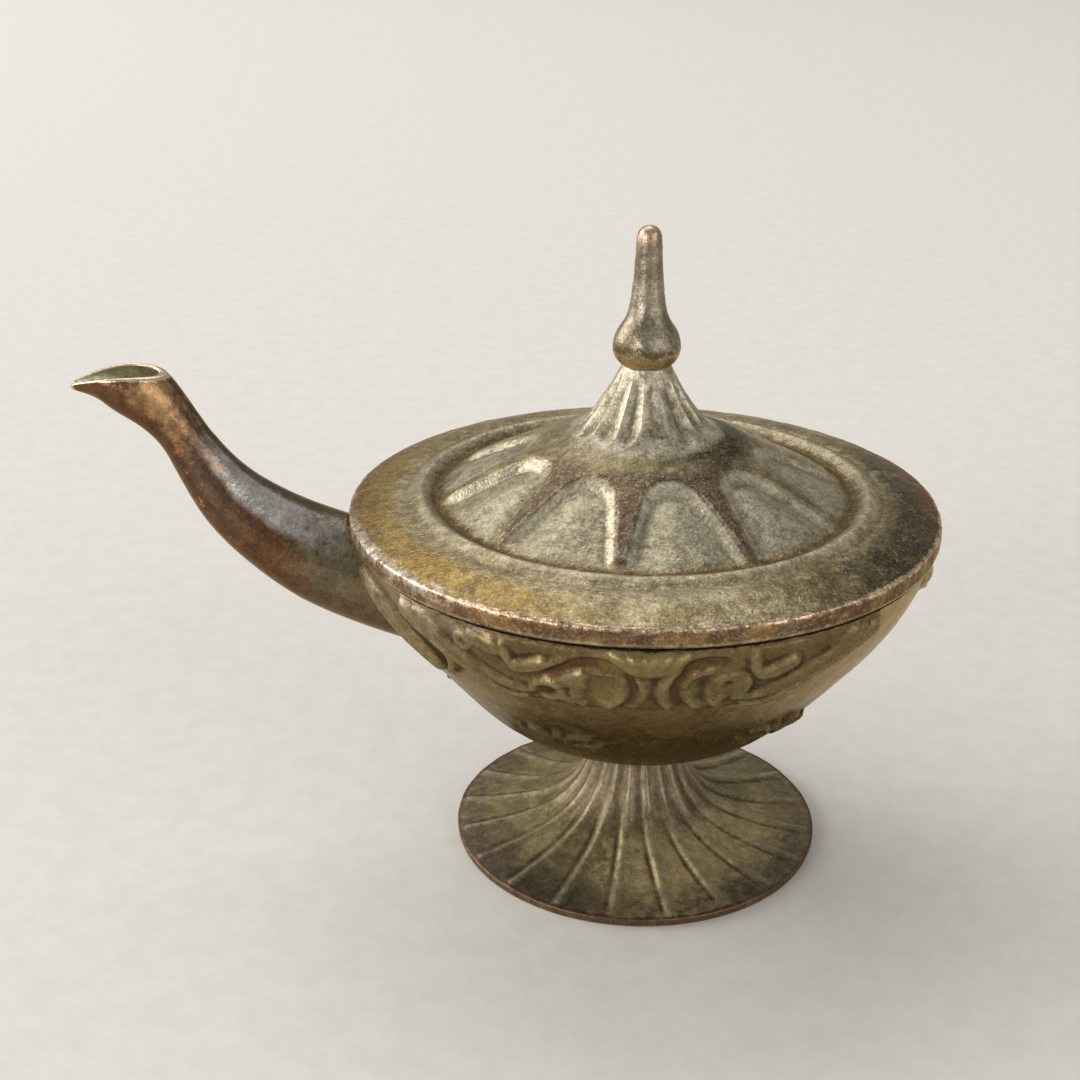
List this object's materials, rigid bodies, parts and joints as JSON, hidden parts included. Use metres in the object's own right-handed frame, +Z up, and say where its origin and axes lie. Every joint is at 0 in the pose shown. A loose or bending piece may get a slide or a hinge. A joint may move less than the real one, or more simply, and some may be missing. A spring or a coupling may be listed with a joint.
{
  "type": "genie oil lamp",
  "caption": "Small cast oil lamp: shallow bowl on a ribbed trumpet foot, curved hollow spout with an open ladle mouth, and a lift-off star-ribbed lid with a fluted cone and a spike finial.",
  "frame": {"origin": "on the lamp's upright axis, in the plane that the foot's rim rests on", "axes": "+Z up along the foot, bowl, lid and finial; the spout points along -X; +Y away from the pictured side"},
  "size_m": [0.1248, 0.086, 0.0959],
  "materials": {
    "foot_bronze": "satin, olive and copper-brown patina",
    "bowl_bronze": "satin, dark olive-brown patina",
    "spout_bronze": "satin, red-brown patina",
    "lid_bronze": "satin, golden-brown patina",
    "finial_bronze": "satin, grey-olive patina",
    "fastener_brass": "dull",
    "solder": "dull"
  },
  "bodies": {
    "base": {"pedestal_foot": "foot_bronze", "pedestal_washer": "fastener_brass", "pedestal_screw": "fastener_brass", "bowl": "bowl_bronze", "bowl_washer": "fastener_brass", "bowl_nut": "fastener_brass", "spout": "spout_bronze", "spout_solder_ring": "solder"},
    "lid": {"lid": "lid_bronze", "finial": "finial_bronze", "finial_washer": "fastener_brass", "finial_nut": "fastener_brass"}
  },
  "joints": [
    {"name": "lid_lift", "type": "slide", "parent": "base", "child": "lid", "axis": [0, 0, 1], "range_m": [0, 0.06]}
  ]
}
